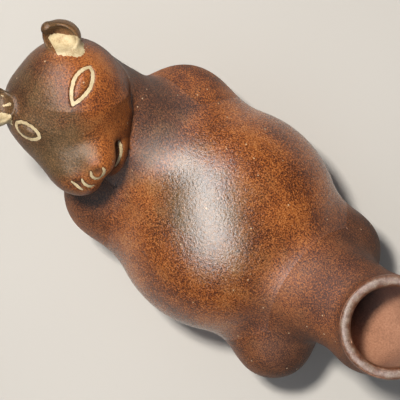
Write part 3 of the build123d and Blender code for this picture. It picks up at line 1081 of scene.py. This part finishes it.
# Patches of cream in and before each ear: middle and half lengths along it and outwards
LINING_PATCHES = {
    "ear_lining_left": [((2.0, -4.0), (10.5, 5.6)), ((6.5, -7.2), (7.0, 3.8)), ((-2.0, -10.4), (3.2, 1.8))],
    "ear_lining_right": [((8.8, -1.6), (5.2, 4.6)), ((-7.7, -5.1), (3.0, 2.2)), ((0.4, -6.0), (0.6, 2.8)),
                         ((14.5, -4.2), (4.0, 1.5))],
}
LINING_TOP = 1.3
LINING_DEPTH = 6.0
LINING_FLANK = unit(vec(-0.775, -0.633))
LINING_FLANK_START = vec(-9.9, 1.1)


def lining_region(p, node, side):
    place = ear_place(p, side)
    flat = place[..., :2]
    patches = [egg(flat - vec(*middle), vec(*radii)) for middle, radii in LINING_PATCHES[node]]
    cream_edge = np.minimum.reduce(patches) + LINING_WAVER * waves(p, seed=5, length=5.0)
    cream_edge = cream_edge + LINING_RIPPLE * waves(p, seed=6, length=2.2)
    brown_flank = (flat - LINING_FLANK_START) @ LINING_FLANK
    rim = flat[..., 1] - LINING_TOP
    underside = -LINING_DEPTH - place[..., 2]
    return np.maximum.reduce([cream_edge, brown_flank, rim, underside])


for node, side in (("ear_lining_left", 1), ("ear_lining_right", -1)):
    low, high = node_box(node, node.replace("lining_", ""))
    paint_piece(node, lambda p: lining_region(p, node, side), low - LINING_MARGIN, high + LINING_MARGIN)


# Unevenness of the lip: its slow and fine waver, its limits, how far it goes across and up, and the heights
# above the seat between which it sets in
LIP_WAVER = 0.35
LIP_RIPPLE = 0.12
LIP_LEAST, LIP_MOST = -1, 0.6
LIP_GIVE = vec(0.2, 0.2, 0.8)
LIP_CALM, LIP_LIVELY = 0.5, 4.0
SEAT_TOLERANCE = 1e-6


def lip_piece():
    """The rounded coil round the mouth, a little uneven as a hand leaves it."""
    around_count, section_count = 240, 44
    turn = np.linspace(0, 2 * math.pi, around_count, endpoint=False)
    section = np.linspace(-0.5 * math.pi, 1.5 * math.pi, section_count)
    half_width = (LIP_RADIUS - BORE_RADIUS) / 2
    middle_radius = BORE_RADIUS + half_width
    crown = LIP_SEAT + LIP_FOOT
    rise = np.clip(np.sin(section), 0, 1) ** LIP_SQUARENESS
    across = np.cos(section)
    across = np.where(section > 0, np.sign(across) * np.abs(across) ** LIP_SQUARENESS, 1.0)
    across = np.where(section > math.pi, -1.0, across)
    foot = np.clip(np.abs(section - math.pi / 2) / math.pi * 2 - 1, 0, 1)
    height = crown + (MOUTH_HEIGHT - crown) * rise - LIP_FOOT * foot
    tuck = np.where(section < 0, foot, 0) ** 2
    radius = middle_radius + half_width * across - tuck * (LIP_RADIUS - SPOUT_RADIUS)
    turn_grid, radius_grid = np.meshgrid(turn, radius, indexing="ij")
    height_grid = np.broadcast_to(height, radius_grid.shape)
    points = np.stack([mouth[0] + radius_grid * np.cos(turn_grid), mouth[1] + radius_grid * np.sin(turn_grid),
                       height_grid], -1).reshape(-1, 3)
    outward = np.stack([np.cos(turn_grid) * across, np.sin(turn_grid) * across,
                        np.broadcast_to(rise, radius_grid.shape)], -1).reshape(-1, 3)
    uneven = LIP_WAVER * waves(points, seed=8, length=16.0) + LIP_RIPPLE * waves(points, seed=9, length=5.0)
    uneven = np.clip(uneven, LIP_LEAST, LIP_MOST) - LIP_MOST
    top = smooth_step(LIP_SEAT + LIP_CALM, LIP_SEAT + LIP_LIVELY, points[:, 2])
    points = points + (uneven * top)[:, None] * outward * LIP_GIVE
    i, j = np.meshgrid(np.arange(around_count), np.arange(section_count), indexing="ij")
    i_next, j_next = (i + 1) % around_count, (j + 1) % section_count
    a, b = i * section_count + j, i_next * section_count + j
    c, d = i_next * section_count + j_next, i * section_count + j_next
    faces = np.concatenate([np.stack([a, b, c], -1).reshape(-1, 3), np.stack([a, c, d], -1).reshape(-1, 3)])
    seated = (points[faces][:, :, 2] < LIP_SEAT + SEAT_TOLERANCE).all(1)
    corner_normals = point_normals(points, faces[~seated])[faces]
    corner_normals[seated] = vec(0, 0, -1)
    piece = make_object("spout_lip_coil", points, faces, corner_normals, np.zeros(len(faces)), [worn_lip])
    place_piece(piece, "worn_lip", "spout_lip")


lip_piece()

# Stage in metres: a plain pale floor, soft lights and the camera
FLOOR_REACH = 4
floor_corners = [(x * FLOOR_REACH, y * FLOOR_REACH, 0) for x, y in ((-1, -1), (1, -1), (1, 1), (-1, 1))]
floor_mesh = bpy.data.meshes.new("floor")
floor_mesh.from_pydata(floor_corners, [], [(0, 1, 2, 3)])
floor_mesh.materials.append(floor_material())
floor = bpy.data.objects.new("floor", floor_mesh)
bpy.context.scene.collection.objects.link(floor)


def area_light(name, place, target, size, energy, colour=(1, 1, 1), long_way=(1, 0, 0)):
    """A rectangular light that shines from a place to a target, with its long side along a direction."""
    light = bpy.data.lights.new(name, "AREA")
    light.shape = "RECTANGLE"
    light.size, light.size_y = size
    light.energy = energy
    light.color = colour
    made = bpy.data.objects.new(name, light)
    bpy.context.scene.collection.objects.link(made)
    back = unit(vec(*place) - vec(*target))
    long_side = unit(vec(*long_way) - (vec(*long_way) @ back) * back)
    turned = np.eye(4)
    turned[:3] = np.column_stack([long_side, np.cross(back, long_side), back, place])
    made.matrix_world = turned.T
    return made


OBJECT_MIDDLE = vec(0, 0, 0.1)
LIGHT_HEIGHT = 1.2
FILL_TARGET = (0, 0, 0.05)
STUDIO_COLOUR = (0.85, 0.87, 0.9, 1)
STUDIO_STRENGTH = 0.05


def above(right, down):
    """A place over the object, given by the tangents of its lean to the right and down in the picture."""
    return OBJECT_MIDDLE + LIGHT_HEIGHT * (right * picture_right + down * picture_down + vec(0, 0, 1))


# The strip shows in the gleam alone, and the other lights in the shading alone.
key = area_light("key", above(right=-0.20, down=-0.19), OBJECT_MIDDLE, size=(0.12, 0.12), energy=22.0,
                 colour=(1.0, 0.94, 0.85))
strip = area_light("strip", above(right=-0.30, down=-0.15), OBJECT_MIDDLE, size=(2.9, 0.75), energy=86.0,
                   colour=(0.97, 0.98, 1.0), long_way=0.12 * picture_right + 0.99 * picture_down)
strip.visible_diffuse = False
fills = [
    area_light("fill", (0.6, -0.9, 1.2), FILL_TARGET, size=(1.4, 1.4), energy=1.4, colour=(1.0, 0.98, 0.96)),
    area_light("back_fill", (0.9, 1.0, 0.9), FILL_TARGET, size=(1.2, 1.2), energy=1.4),
]
for light in [key] + fills:
    light.visible_glossy = False

world = bpy.data.worlds.new("studio")
bpy.context.scene.world = world
world.use_nodes = True
background = world.node_tree.nodes["Background"]
background.inputs["Color"].default_value = STUDIO_COLOUR
background.inputs["Strength"].default_value = STUDIO_STRENGTH

camera_data = bpy.data.cameras.new("camera")
camera_data.sensor_width = SENSOR_WIDTH
camera_data.lens = SENSOR_WIDTH * CAMERA_PIXELS / PHOTO_SIDE
camera = bpy.data.objects.new("camera", camera_data)
bpy.context.scene.collection.objects.link(camera)
camera.location = camera_place * MM
camera.rotation_euler = (0, 0, CAMERA_TURN)
bpy.context.scene.camera = camera
bpy.context.scene.view_settings.view_transform = "Standard"
